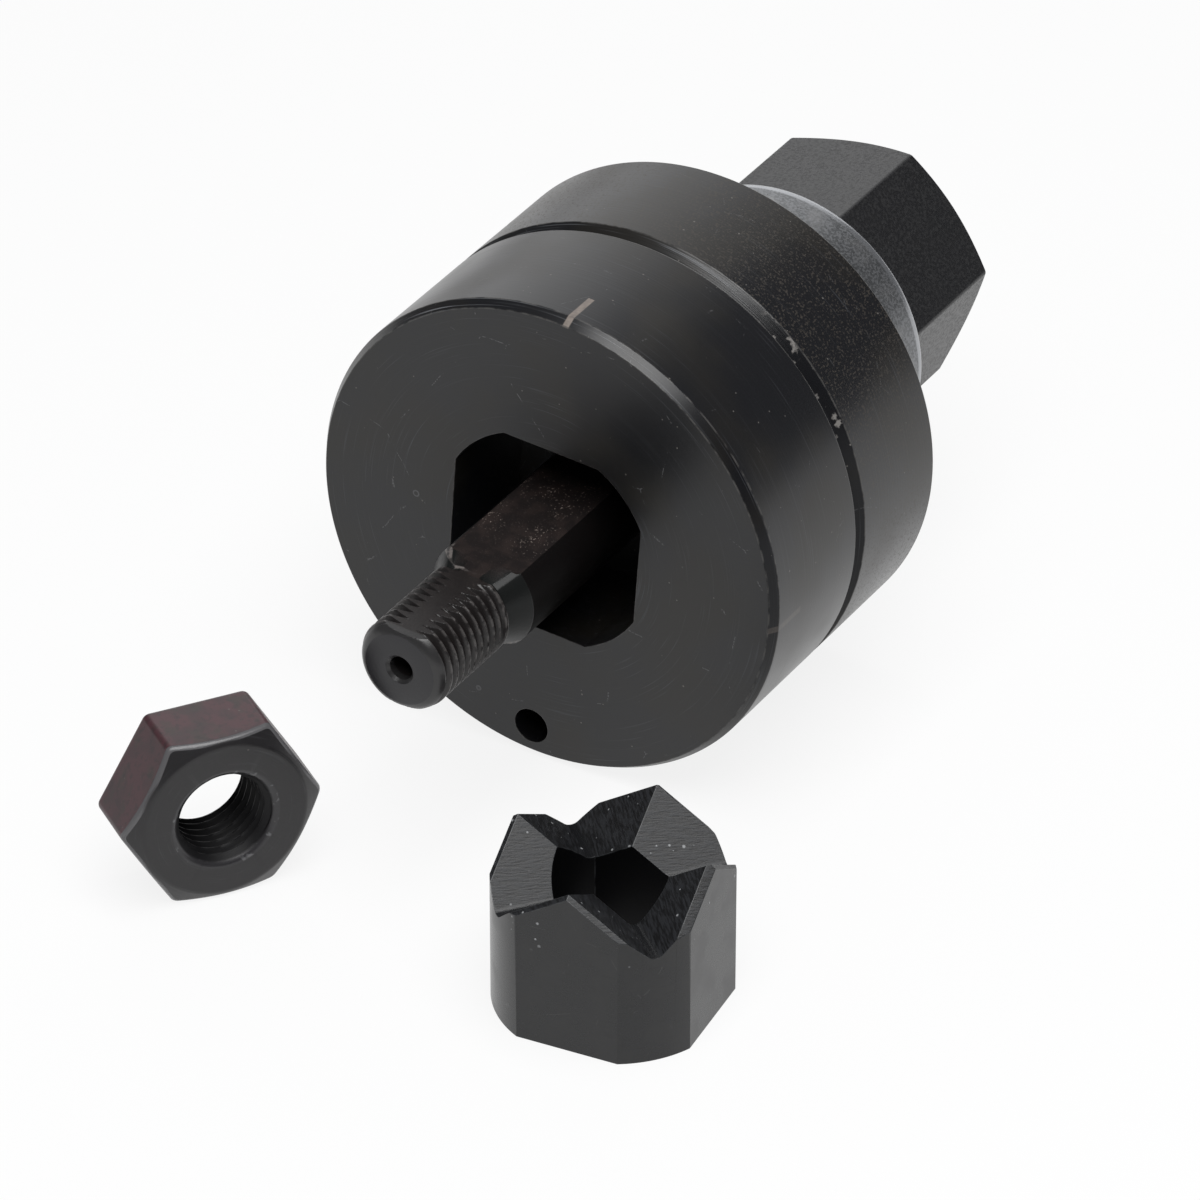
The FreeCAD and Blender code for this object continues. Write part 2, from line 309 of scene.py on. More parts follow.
def maths(tree, operation, first, second=None, third=None, clamp=False):
    """A Math node fed by sockets or plain numbers."""
    made = node(tree, "ShaderNodeMath", operation=operation, use_clamp=clamp)
    for index, value in enumerate((first, second, third)):
        if value is None:
            continue
        if isinstance(value, (int, float)):
            made.inputs[index].default_value = value
        else:
            tree.links.new(value, made.inputs[index])
    return made.outputs[0]


def product(tree, *values):
    """The values multiplied in turn."""
    result = values[0]
    for value in values[1:]:
        result = maths(tree, "MULTIPLY", result, value)
    return result


def inverse(tree, mask):
    """One minus a mask."""
    return maths(tree, "SUBTRACT", 1.0, mask)


def step(tree, value, low, high):
    """Zero below low and one above high, with a smooth rise between."""
    made = node(tree, "ShaderNodeMapRange", interpolation_type="SMOOTHSTEP", clamp=True)
    tree.links.new(value, made.inputs["Value"])
    for socket, bound in (("From Min", low), ("From Max", high)):
        if isinstance(bound, (int, float)):
            made.inputs[socket].default_value = bound
        else:
            tree.links.new(bound, made.inputs[socket])
    return made.outputs["Result"]


def round_about(name, centre, along):
    """A group that gives radius, turn and station about an axis, in mm and radians."""
    group, given, taken = shared_group(
        name, [("Position", "NodeSocketVector", None)],
        [("Radius", "NodeSocketFloat"), ("Turn", "NodeSocketFloat"),
         ("Station", "NodeSocketFloat"), ("Place", "NodeSocketVector")])
    across = along.cross(Vector((0, 0, 1))) if abs(along.z) < 0.5 else Vector((0, 1, 0))
    upward = across.cross(along)
    moved = node(group, "ShaderNodeVectorMath", {1: centre}, operation="SUBTRACT")
    scaled = node(group, "ShaderNodeVectorMath", {"Scale": 1 / mm}, operation="SCALE")
    group.links.new(given.outputs["Position"], moved.inputs[0])
    group.links.new(moved.outputs[0], scaled.inputs[0])
    parts = []
    for direction in (across, upward, along):
        dot = node(group, "ShaderNodeVectorMath", {1: direction}, operation="DOT_PRODUCT")
        group.links.new(scaled.outputs[0], dot.inputs[0])
        parts.append(dot.outputs["Value"])
    squares = [product(group, part, part) for part in parts[:2]]
    radius = maths(group, "SQRT", maths(group, "ADD", *squares))
    turn = maths(group, "ARCTAN2", parts[1], parts[0])
    place = node(group, "ShaderNodeCombineXYZ")
    for index, part in enumerate(parts):
        group.links.new(part, place.inputs[index])
    for socket, value in (("Radius", radius), ("Turn", turn), ("Station", parts[2]),
                          ("Place", place.outputs[0])):
        group.links.new(value, taken.inputs[socket])
    return group


def lathe_lines_group():
    """Fine tool lines that run round a turned part, as a height and a mask."""
    group, given, taken = shared_group(
        "lathe lines",
        [("Radius", "NodeSocketFloat", 0.0), ("Turn", "NodeSocketFloat", 0.0),
         ("Station", "NodeSocketFloat", 0.0), ("Lines per mm", "NodeSocketFloat", 6.0)],
        [("Height", "NodeSocketFloat"), ("Mask", "NodeSocketFloat")])
    spread = [product(group, given.outputs[socket],
                      given.outputs["Lines per mm"]) for socket in ("Radius", "Station")]
    place = node(group, "ShaderNodeCombineXYZ")
    group.links.new(spread[0], place.inputs[0])
    group.links.new(spread[1], place.inputs[1])
    group.links.new(product(group, given.outputs["Turn"], 1.6), place.inputs[2])
    lines = node(group, "ShaderNodeTexNoise", {"Scale": 1.0, "Detail": 2.0, "Roughness": 0.6})
    group.links.new(place.outputs[0], lines.inputs["Vector"])
    group.links.new(lines.outputs[0], taken.inputs["Height"])
    group.links.new(step(group, lines.outputs[0], 0.58, 0.74), taken.inputs["Mask"])
    return group


def specks_group():
    """Scattered small spots, such as dust, pits and worn-through points."""
    group, given, taken = shared_group(
        "specks",
        [("Place", "NodeSocketVector", None), ("Spacing mm", "NodeSocketFloat", 1.0),
         ("Size", "NodeSocketFloat", 0.12), ("Share", "NodeSocketFloat", 0.3)],
        [("Mask", "NodeSocketFloat")])
    scale = maths(group, "DIVIDE", 1.0, given.outputs["Spacing mm"])
    cells = node(group, "ShaderNodeTexVoronoi", {"Randomness": 1.0}, feature="F1")
    group.links.new(given.outputs["Place"], cells.inputs["Vector"])
    group.links.new(scale, cells.inputs["Scale"])
    pick = node(group, "ShaderNodeSeparateColor")
    group.links.new(cells.outputs["Color"], pick.inputs[0])
    chosen = maths(group, "LESS_THAN", pick.outputs[0], given.outputs["Share"])
    size = product(group, given.outputs["Size"], maths(group, "ADD", pick.outputs[1], 0.35))
    near = inverse(group, step(group, cells.outputs["Distance"], product(group, size, 0.5), size))
    group.links.new(product(group, near, chosen), taken.inputs["Mask"])
    return group


def scratches_group():
    """Short thin scratches that cross at odd angles and come and go."""
    group, given, taken = shared_group(
        "scratches",
        [("Place", "NodeSocketVector", None), ("Spacing mm", "NodeSocketFloat", 4.0),
         ("Width", "NodeSocketFloat", 0.012), ("Share", "NodeSocketFloat", 0.35)],
        [("Mask", "NodeSocketFloat")])
    bend = node(group, "ShaderNodeTexNoise", {"Scale": 0.35, "Detail": 1.0})
    bent = node(group, "ShaderNodeVectorMath", operation="ADD")
    bent_scale = node(group, "ShaderNodeVectorMath", {"Scale": 0.5}, operation="SCALE")
    group.links.new(given.outputs["Place"], bend.inputs["Vector"])
    group.links.new(bend.outputs["Color"], bent_scale.inputs[0])
    group.links.new(bent_scale.outputs[0], bent.inputs[0])
    group.links.new(given.outputs["Place"], bent.inputs[1])
    cells = node(group, "ShaderNodeTexVoronoi", {"Randomness": 1.0}, feature="DISTANCE_TO_EDGE")
    group.links.new(bent.outputs[0], cells.inputs["Vector"])
    group.links.new(maths(group, "DIVIDE", 1.0, given.outputs["Spacing mm"]),
                    cells.inputs["Scale"])
    thin = inverse(group, step(group, cells.outputs["Distance"], 0.0, given.outputs["Width"]))
    gaps = node(group, "ShaderNodeTexNoise", {"Scale": 0.55, "Detail": 3.0})
    group.links.new(given.outputs["Place"], gaps.inputs["Vector"])
    edge = maths(group, "SUBTRACT", 0.72, product(group, given.outputs["Share"], 0.4))
    kept = step(group, gaps.outputs[0], edge, maths(group, "ADD", edge, 0.06))
    group.links.new(product(group, thin, kept), taken.inputs["Mask"])
    return group


def ring_marks_group():
    """Small pale rings, such as a bubble in the blacking bath leaves."""
    group, given, taken = shared_group(
        "ring marks",
        [("Place", "NodeSocketVector", None), ("Spacing mm", "NodeSocketFloat", 9.0),
         ("Radius mm", "NodeSocketFloat", 0.4), ("Share", "NodeSocketFloat", 0.3)],
        [("Mask", "NodeSocketFloat")])
    cells = node(group, "ShaderNodeTexVoronoi", {"Randomness": 1.0}, feature="F1")
    group.links.new(given.outputs["Place"], cells.inputs["Vector"])
    group.links.new(maths(group, "DIVIDE", 1.0, given.outputs["Spacing mm"]),
                    cells.inputs["Scale"])
    away = product(group, cells.outputs["Distance"], given.outputs["Spacing mm"])
    off = maths(group, "ABSOLUTE", maths(group, "SUBTRACT", away, given.outputs["Radius mm"]))
    pick = node(group, "ShaderNodeSeparateColor")
    group.links.new(cells.outputs["Color"], pick.inputs[0])
    chosen = maths(group, "LESS_THAN", pick.outputs[0], given.outputs["Share"])
    ring = inverse(group, step(group, off, 0.03, 0.09))
    group.links.new(product(group, ring, chosen), taken.inputs["Mask"])
    return group


about_die_axis = round_about("about the die's axis", face_centre, Vector((0, 1, 0)))
lathe_lines = lathe_lines_group()
specks = specks_group()
scratches = scratches_group()
ring_marks = ring_marks_group()


class Finish:
    """A steel finish that is built up in layers over one base colour."""

    def __init__(self, name, colour, roughness, axis_group, metallic=0.0, ior=1.5):
        self.material, self.tree = new_material(name)
        self.colour = node(self.tree, "ShaderNodeRGB").outputs[0]
        self.colour.default_value = (*colour, 1)
        self.roughness = None
        self.base_roughness = roughness
        self.height = None
        self.gloss = 0.5
        self.shader = node(self.tree, "ShaderNodeBsdfPrincipled",
                           {"Metallic": metallic, "IOR": ior})
        surface = node(self.tree, "ShaderNodeOutputMaterial")
        self.tree.links.new(self.shader.outputs[0], surface.inputs[0])
        position = node(self.tree, "ShaderNodeTexCoord")
        self.about = self.group(axis_group, Position=position.outputs["Object"])

    def group(self, group, **sockets):
        made = node(self.tree, "ShaderNodeGroup", node_tree=group)
        for socket, value in sockets.items():
            socket = socket.replace("_", " ")
            if isinstance(value, (int, float)):
                made.inputs[socket].default_value = value
            else:
                self.tree.links.new(value, made.inputs[socket])
        return made.outputs

    def noise(self, scale, detail=2.0, vector=None):
        made = node(self.tree, "ShaderNodeTexNoise", {"Scale": scale, "Detail": detail})
        self.tree.links.new(vector or self.about["Place"], made.inputs["Vector"])
        return made.outputs[0]

    def tool_lines(self, per_mm):
        """Turning lines about the finish's own axis."""
        return self.group(lathe_lines, Radius=self.about["Radius"], Turn=self.about["Turn"],
                          Station=self.about["Station"], Lines_per_mm=per_mm)

    def layer(self, mask, colour=None, roughness=None, strength=1.0):
        """Lays a colour or a roughness over what is there, where the mask is white."""
        mask = maths(self.tree, "MULTIPLY", mask, strength, clamp=True)
        if colour is not None:
            mix = node(self.tree, "ShaderNodeMix", data_type="RGBA")
            a, b = [s for s in mix.inputs if s.type == "RGBA"]
            b.default_value = (*colour, 1)
            self.tree.links.new(mask, mix.inputs["Factor"])
            self.tree.links.new(self.colour, a)
            self.colour = [s for s in mix.outputs if s.type == "RGBA"][0]
        if roughness is not None:
            start = self.base_roughness if self.roughness is None else self.roughness
            change = product(self.tree, mask, roughness)
            kept = product(self.tree, inverse(self.tree, mask), start)
            self.roughness = maths(self.tree, "ADD", change, kept)

    def dull(self, mask, gloss):
        """Takes the shine down to a specular level where the mask is white."""
        change = product(self.tree, mask, gloss)
        kept = product(self.tree, inverse(self.tree, mask), self.gloss)
        self.gloss = maths(self.tree, "ADD", change, kept)

    def relief(self, height, depth_mm):
        """Adds a height, in millimetres, to the finish's bump."""
        scaled = product(self.tree, height, depth_mm * mm)
        self.height = scaled if self.height is None else maths(self.tree, "ADD", self.height,
                                                               scaled)

    def done(self):
        self.tree.links.new(self.colour, self.shader.inputs["Base Color"])
        if self.roughness is None:
            self.shader.inputs["Roughness"].default_value = self.base_roughness
        else:
            self.tree.links.new(self.roughness, self.shader.inputs["Roughness"])
        if self.gloss != 0.5:
            self.tree.links.new(self.gloss, self.shader.inputs["Specular IOR Level"])
        if self.height is not None:
            bump = node(self.tree, "ShaderNodeBump", {"Strength": 1.0, "Distance": 1.0})
            self.tree.links.new(self.height, bump.inputs["Height"])
            self.tree.links.new(bump.outputs[0], self.shader.inputs["Normal"])
        return self.material


oxide_black = (0.0073, 0.0075, 0.009)
tick_grey = (0.22, 0.185, 0.16)
tick_half = 0.32
top_tick = {"turn": math.radians(84.4), "reach": 4.6, "strength": 0.9}
side_tick = {"turn": math.radians(-4.6), "reach": 5.0, "strength": 0.22}


def rubbed_and_highlit_edge(finish, colour, strength=0.8):
    """Lays pale bare metal over a finish in broken patches, for faces on an edge: part edge wear and part a
    painted highlight along the edge.
    """
    patch = step(finish.tree, finish.noise(0.9, 4.0), 0.36, 0.6)
    finish.layer(patch, colour=colour, roughness=0.3, strength=strength)


def tick_mask(finish, turn, reach):
    """A painted line across the rim at one turn, back to one station."""
    tree = finish.tree
    place = node(tree, "ShaderNodeSeparateXYZ")
    tree.links.new(finish.about["Place"], place.inputs[0])
    across, upward = place.outputs[0], place.outputs[1]
    cosine, sine = math.cos(turn), math.sin(turn)
    off = maths(tree, "SUBTRACT", product(tree, upward, cosine), product(tree, across, sine))
    off = maths(tree, "ABSOLUTE", off)
    side = maths(tree, "ADD", product(tree, across, cosine), product(tree, upward, sine))
    within = inverse(tree, step(tree, off, tick_half - 0.06, tick_half + 0.06))
    before_end = maths(tree, "LESS_THAN", finish.about["Station"], reach)
    ends = product(tree, step(tree, side, die_r - 0.8, die_r - 0.6), before_end)
    worn = maths(tree, "ADD", finish.noise(2.2, 4.0), 0.4)
    return product(tree, within, ends, worn)


def die_finish(name, on_edge):
    """Black oxide with turning lines, scrapes, dust and the two rim ticks, and painted highlights on the upper
    chamfer and groove.
    """
    finish = Finish(name, oxide_black, 0.28, about_die_axis)
    about = finish.about
    tree = finish.tree
    finish.layer(step(tree, finish.noise(0.09, 2.0), 0.4, 0.65), colour=(0.0115, 0.0102, 0.0085),
                 roughness=0.34)
    lines = finish.tool_lines(5.0)
    lit = maths(tree, "ADD", 0.25,
                product(tree, 0.75, step(tree, finish.noise(0.11, 1.0), 0.42, 0.6)))
    finish.layer(product(tree, lines["Mask"], lit), colour=(0.04, 0.042, 0.047), roughness=0.42)
    station_off = maths(tree, "ABSOLUTE", maths(tree, "SUBTRACT", about["Station"], ring_end))
    groove = product(tree, maths(tree, "LESS_THAN", station_off, groove_chamfer),
                     maths(tree, "LESS_THAN", about["Radius"], die_r - 0.03))
    chamfer = product(tree, maths(tree, "LESS_THAN", about["Station"], face_chamfer_l),
                      maths(tree, "GREATER_THAN", about["Radius"], die_r - face_chamfer_r - 0.02))
    cut = maths(tree, "MAXIMUM", groove, chamfer)
    # Painted highlight: the tool lines on the face chamfer and the groove are painted pale only on the upper
    # turns, where the light catches them; on the turns below their shine is taken down.
    highlit_turns = step(tree, about["Turn"], 0.85, 1.15)
    finish.layer(product(tree, lines["Mask"], cut, highlit_turns), colour=(0.15, 0.155, 0.165),
                 roughness=0.25)
    finish.dull(product(tree, cut, inverse(tree, highlit_turns)), 0.2)
    # Pale scraped patches on the groove, kept to the turns where the light falls on it: part scrape marks and part
    # painted highlight.
    lit_groove_turns = product(tree, step(tree, about["Turn"], 0.25, 0.33),
                          inverse(tree, step(tree, about["Turn"], 0.92, 1.0)))
    scraped = product(tree, step(tree, finish.noise(0.85, 5.0), 0.56, 0.64), lit_groove_turns)
    finish.layer(product(tree, scraped, groove), colour=(0.2, 0.19, 0.18), roughness=0.35)
    scrape = finish.group(scratches, Place=about["Place"], Spacing_mm=13.0, Width=0.005,
                          Share=0.42)
    dotted = step(tree, finish.noise(4.5, 2.0), 0.42, 0.56)
    scraped_line = product(tree, scrape["Mask"], dotted)
    on_face = inverse(tree, step(tree, about["Station"], 0.5, 1.0))
    finish.layer(scraped_line, colour=(0.13, 0.13, 0.135), strength=0.35)
    finish.layer(product(tree, scraped_line, on_face), colour=(0.13, 0.13, 0.135), strength=0.6)
    rings = finish.group(ring_marks, Place=about["Place"], Spacing_mm=8.0, Radius_mm=0.35,
                         Share=0.3)
    finish.layer(rings["Mask"], colour=(0.085, 0.085, 0.09), strength=0.8)
    dust = finish.group(specks, Place=about["Place"], Spacing_mm=0.8, Size=0.12, Share=0.16)
    finish.layer(dust["Mask"], colour=(0.15, 0.14, 0.13), roughness=0.6, strength=0.8)
    on_base_rim = product(tree,
                          maths(tree, "GREATER_THAN", about["Station"],
                                ring_end + groove_chamfer),
                          maths(tree, "GREATER_THAN", about["Radius"], die_r - 0.05))
    grit = step(tree, finish.noise(4.2, 4.0), 0.54, 0.64)
    finish.layer(product(tree, grit, on_base_rim), colour=(0.04, 0.034, 0.028), roughness=0.5,
                 strength=0.8)
    for tick in (top_tick, side_tick):
        finish.layer(tick_mask(finish, tick["turn"], tick["reach"]), colour=tick_grey,
                     roughness=0.45, strength=tick["strength"])
    if on_edge:
        rubbed_and_highlit_edge(finish, (0.075, 0.073, 0.07), 0.7)
    finish.relief(product(tree, lines["Height"], maths(tree, "ADD", 0.3, cut)), 0.02)
    finish.relief(scraped_line, -0.006)
    return finish.done()


def pin_hole(low, high):
    """A cutter for the dowel's hole, below the die's axis."""
    cutter = turned("pin hole", [(0, low), (pin_r, low), (pin_r, high), (0, high)], 64)
    cutter.data.transform(Matrix.Translation((0, 0, -pin_from_axis)))
    return cutter


die_finishes = [die_finish("die black oxide", False), die_finish("die rubbed and highlit edges", True)]

die_ring = turned("cutting_die_ring", [
    (0, 0),
    (die_r - face_chamfer_r, 0),
    (die_r, face_chamfer_l),
    (die_r, ring_end - groove_chamfer),
    (die_r - groove_chamfer, ring_end),
    (spigot_r, ring_end),
    (spigot_r, opening_depth),
    (0, opening_depth),
])
carve(die_ring,
      prism("opening", flatted_outline(opening_r, opening_half_flats), -1, opening_depth + 1))
carve(die_ring, pin_hole(-1, ring_end + 1))
eased(die_ring, die_ease)
placed(die_ring, die_place, die_finishes, "die", "die_steel", "die_ring")


# The die base is the second ring, pressed into the first and held in line by
# a ground dowel. Its spigot closes the opening, and a keyed hole in it guides
# the draw stud. The bearing cover is pressed over a boss at its rear.
base_end = 31.1
boss_end = 35.6
boss_r = 14.0
guide_end = 24.0
guide_gap = 0.06
guide_flat_gap = 0.09
pin_hole_end = 25.6
bearing_bore_r = 7.0
ring_edge = 0.4
stud_r = 5.5
stud_half_flats = 3.97


def keyed_outline(radius, half_flats, arc_steps=40):
    """The outline of a round with a flat above and a flat below."""
    edge = math.asin(half_flats / radius)
    points = []
    for side in (0, 1):
        for k in range(arc_steps + 1):
            turn = side * math.pi - edge + 2 * edge * k / arc_steps
            points.append((radius * math.cos(turn), radius * math.sin(turn)))
    return points


die_base = turned("die_base_ring", [
    (0, opening_depth),
    (spigot_r - ring_edge, opening_depth),
    (spigot_r, opening_depth + ring_edge),
    (spigot_r, ring_end),
    (die_r - groove_chamfer, ring_end),
    (die_r, ring_end + groove_chamfer),
    (die_r, base_end - groove_chamfer),
    (die_r - groove_chamfer, base_end),
    (boss_r, base_end),
    (boss_r, boss_end - ring_edge),
    (boss_r - ring_edge, boss_end),
    (bearing_bore_r, boss_end),
    (bearing_bore_r, guide_end),
    (0, guide_end),
])
guide_outline = keyed_outline(stud_r + guide_gap, stud_half_flats + guide_flat_gap)
carve(die_base, prism("guide", guide_outline, opening_depth - 1, guide_end + 1))
carve(die_base, pin_hole(ring_end - 1, pin_hole_end))
eased(die_base, die_ease)
placed(die_base, die_place, die_finishes, "die", "die_steel", "die_base")


def ground_pin_finish():
    finish = Finish("ground dowel steel", (0.2, 0.2, 0.2), 0.3, about_die_axis, metallic=1.0)
    lines = finish.group(lathe_lines, Radius=0.0, Turn=0.0, Station=finish.about["Station"],
                         Lines_per_mm=9.0)
    finish.layer(lines["Mask"], colour=(0.3, 0.3, 0.3), roughness=0.45)
    return finish.done()


frame["nodes"]["locating_pin"].data.materials.clear()
frame["nodes"]["locating_pin"].data.materials.append(ground_pin_finish())


# The draw stud is a turned bar with a flat milled above and below. Its front
# end carries the punch nut's thread and a centre-drilled tip, and its rear
# end carries the thread that the drive nut pulls. The oxide is worn brown.
stud_tip = -25.5
stud_end = 58.0
front_thread = {"outer": 4.7, "root": 4.05, "pitch": 1.058, "from": stud_tip, "to": -13.9}
rear_thread = {"outer": stud_r, "root": 4.85, "pitch": 1.27, "from": 29.0, "to": stud_end}
front_step = 0.05
rear_step = 0.1
tip_bore_r = 1.2
tip_bore_l = 2.8
tip_point_l = 4.0
tip_sink = 0.3
tip_face_r = 3.6
tip_edge = 1.1
tip_bulge = 0.14
tip_steps = 12
neck_r = 4.1
neck_from = -13.7
neck_to = -13.2
cone_slope = 0.6
cone_end_r = 5.35
cone_to = -11.15
shoulder_to = -10.85
end_bevel = 1.0
crease = math.asin(stud_half_flats / stud_r)
stud_turns = [start + (end - start) * k / 66 for start,
              end in ((-crease, crease), (crease, math.pi - crease),
                      (math.pi - crease, math.pi + crease),
                      (math.pi + crease, 2 * math.pi - crease)) for k in range(66)]


def thread_radius(thread, station, turn, fade=1.0):
    """The radius of a worn screw thread at a station and a turn."""
    wave = (station / thread["pitch"] - turn / (2 * math.pi)) % 1.0
    rise = min(1.0, max(0.0, (1 - abs(2 * wave - 1) - 0.14) / 0.72))
    in_fade = min((station - thread["from"]) / fade, (thread["to"] - station) / fade, 1.0)
    depth = (thread["outer"] - thread["root"]) * max(0.0, in_fade)
    return thread["outer"] - depth * (1 - rise)


def stud_row(limit, station, thread=None):
    row = []
    for turn in stud_turns:
        radius = limit if thread is None else min(limit, thread_radius(thread, station, turn))
        height = max(-stud_half_flats, min(stud_half_flats, radius * math.sin(turn)))
        row.append((radius * math.cos(turn), station, height))
    return row


def stud_rows():
    """The stud from the bottom of its centre hole, over the tip, to its rear end."""
    rows = [[(0.0, stud_tip + tip_point_l, 0.0)]]
    rows += [stud_row(tip_bore_r, stud_tip + tip_bore_l),
             stud_row(tip_bore_r, stud_tip + tip_sink),
             stud_row(tip_bore_r + tip_sink, stud_tip)]
    for k in range(tip_steps + 1):
        bend = k / tip_steps
        bulge = tip_bulge * math.sin(bend * math.pi)
        thread = front_thread if k > 8 else None
        rows.append(stud_row(tip_face_r + tip_edge * bend + bulge,
                             stud_tip + tip_edge * bend - bulge, thread))
    station = stud_tip + tip_edge + front_step
    while station < front_thread["to"]:
        rows.append(stud_row(front_thread["outer"], station, front_thread))
        station += front_step
    rows += [stud_row(neck_r, neck_from), stud_row(neck_r, neck_to),
             stud_row(cone_end_r, cone_to), stud_row(stud_r, shoulder_to)]
    rows += [stud_row(stud_r, rear_thread["from"] - rear_step)]
    station = rear_thread["from"]
    while station < stud_end - end_bevel:
        rows.append(stud_row(stud_r, station, rear_thread))
        station += rear_step
    for k in range(9):
        past = end_bevel * k / 8
        rows.append(stud_row(stud_r - past, stud_end - end_bevel + past, rear_thread))
    rows.append([(0.0, stud_end, 0.0)])
    return rows


def facing(tree, direction, low, high):
    """One on the faces that look along a direction, from their true normal."""
    true_normal = node(tree, "ShaderNodeNewGeometry").outputs["True Normal"]
    dot = node(tree, "ShaderNodeVectorMath", {1: direction}, operation="DOT_PRODUCT")
    tree.links.new(true_normal, dot.inputs[0])
    return step(tree, dot.outputs["Value"], low, high)


def stud_finish():
    """Brown on the flats and near black on the round, with pale thread crests and a painted highlight along the
    creases.
    """
    finish = Finish("worn brown oxide", (0.005, 0.0042, 0.0042), 0.3, about_die_axis)
    about = finish.about
    tree = finish.tree
    upward = Vector((math.sin(roll), 0.0, math.cos(roll)))
    on_flat = maths(tree, "MAXIMUM", facing(tree, upward, 0.95, 0.99),
                    facing(tree, -upward, 0.95, 0.99))
    finish.layer(on_flat, colour=(0.0125, 0.0098, 0.0096), roughness=0.36)
    cloud = step(tree, finish.noise(0.5, 5.0), 0.42, 0.66)
    finish.layer(product(tree, cloud, on_flat), colour=(0.021, 0.0148, 0.0135), roughness=0.4)
    on_thread = maths(tree, "LESS_THAN", about["Station"], front_thread["to"] + 0.1)
    finish.layer(on_thread, colour=(0.013, 0.0108, 0.0104), strength=0.8)
    before_edge = maths(tree, "LESS_THAN", about["Station"], stud_tip + tip_edge - 0.05)
    finish.layer(before_edge, colour=(0.028, 0.0275, 0.028), roughness=0.3, strength=0.8)
    tip = maths(tree, "LESS_THAN", about["Station"], stud_tip + 0.04)
    finish.layer(tip, colour=(0.0135, 0.013, 0.0155), roughness=0.32)
    patch = product(tree, step(tree, finish.noise(0.28, 2.0), 0.44, 0.56),
                    step(tree, about["Station"], -9.0, -6.0))
    worn = step(tree, finish.noise(4.8, 3.0), 0.62, 0.68)
    worn = product(tree, worn, maths(tree, "ADD", patch, 0.1), on_flat)
    finish.layer(worn, colour=(0.2, 0.165, 0.145), roughness=0.3, strength=0.8)
    # Thread crests painted pale in broken patches: part worn metal and part painted highlight.
    crest = product(tree,
                    step(tree, about["Radius"], front_thread["outer"] - 0.2,
                         front_thread["outer"] - 0.02), on_thread)
    broken = step(tree, finish.noise(1.7, 3.0), 0.4, 0.56)
    finish.layer(product(tree, crest, broken), colour=(0.07, 0.064, 0.062), roughness=0.28,
                 strength=0.85)
    shoulder = product(tree, step(tree, about["Station"], neck_from - 0.05, neck_from + 0.1),
                       inverse(tree,
                               step(tree, about["Station"], shoulder_to - 0.1,
                                    shoulder_to + 0.05)))
    shoulder = product(tree, shoulder, inverse(tree, on_flat))
    finish.layer(shoulder, colour=(0.008, 0.0088, 0.0086), roughness=0.3)
    finish.dull(shoulder, 0.2)
    past_neck = maths(tree, "ADD", about["Station"], -neck_to)
    cone_r = maths(tree, "ADD", neck_r, product(tree, cone_slope, past_neck))
    limit = maths(tree, "MINIMUM", maths(tree, "MAXIMUM", cone_r, neck_r), stud_r)
    rise = node(tree, "ShaderNodeVectorMath", {1: (-upward.x, upward.z, 0.0)},
                operation="DOT_PRODUCT")
    tree.links.new(about["Place"], rise.inputs[0])
    height = maths(tree, "ABSOLUTE", rise.outputs["Value"])
    # Painted highlight along the creases between the flats and the round, where the light catches the edges; kept
    # to the front end and to one side.
    painted_crease_highlight = product(tree,
                          step(tree, height, stud_half_flats - 0.13, stud_half_flats - 0.05),
                          step(tree, maths(tree, "SUBTRACT", about["Radius"], limit), -0.14,
                               -0.05))
    sides = node(tree, "ShaderNodeSeparateXYZ")
    tree.links.new(about["Place"], sides.inputs[0])
    at_front = inverse(tree, step(tree, about["Station"], -11.0, -10.0))
    shown = maths(tree, "MAXIMUM", at_front, step(tree, sides.outputs[0], -0.5, 0.5))
    painted_crease_highlight = product(tree, painted_crease_highlight, shown, step(tree, about["Station"], -13.6, -13.2))
    finish.layer(product(tree, painted_crease_highlight, maths(tree, "ADD", broken, 0.3)),
                 colour=(0.15, 0.135, 0.128), roughness=0.28, strength=0.85)
    finish.relief(finish.noise(3.5, 4.0), 0.012)
    return finish.done()


draw_stud = skinned("flatted_draw_stud", stud_rows())
placed(draw_stud, die_place, [stud_finish()], "stud", "stud_steel", "draw_stud")


# The bearing cover is a thin turned sleeve with a satin grey finish, pressed
# over the base's boss. Its rear lip is rolled in over the drive nut's flange
# and has a polished edge.
cover_r = 15.5
cover_end = 45.5
lip_r = 12.65
lip_t = 1.0
cover_rim_r = 0.8


def cover_finish():
    finish = Finish("satin grey sleeve", (0.16, 0.165, 0.17), 0.36, about_die_axis, metallic=0.85)
    about = finish.about
    grain = finish.noise(3.6, 4.0)
    finish.layer(step(finish.tree, grain, 0.42, 0.6), colour=(0.25, 0.255, 0.265), roughness=0.44)
    dark = finish.group(specks, Place=about["Place"], Spacing_mm=0.3, Size=0.3, Share=0.35)
    finish.layer(dark["Mask"], colour=(0.07, 0.07, 0.072), roughness=0.5, strength=0.7)
    finish.layer(step(finish.tree, finish.noise(0.35, 2.0), 0.45, 0.7), colour=(0.3, 0.3, 0.305),
                 strength=0.5)
    lip = step(finish.tree, about["Station"], cover_end - lip_t - 0.3, cover_end - lip_t)
    finish.layer(lip, colour=(0.42, 0.43, 0.45), roughness=0.26, strength=0.8)
    finish.relief(grain, 0.008)
    return finish.done()


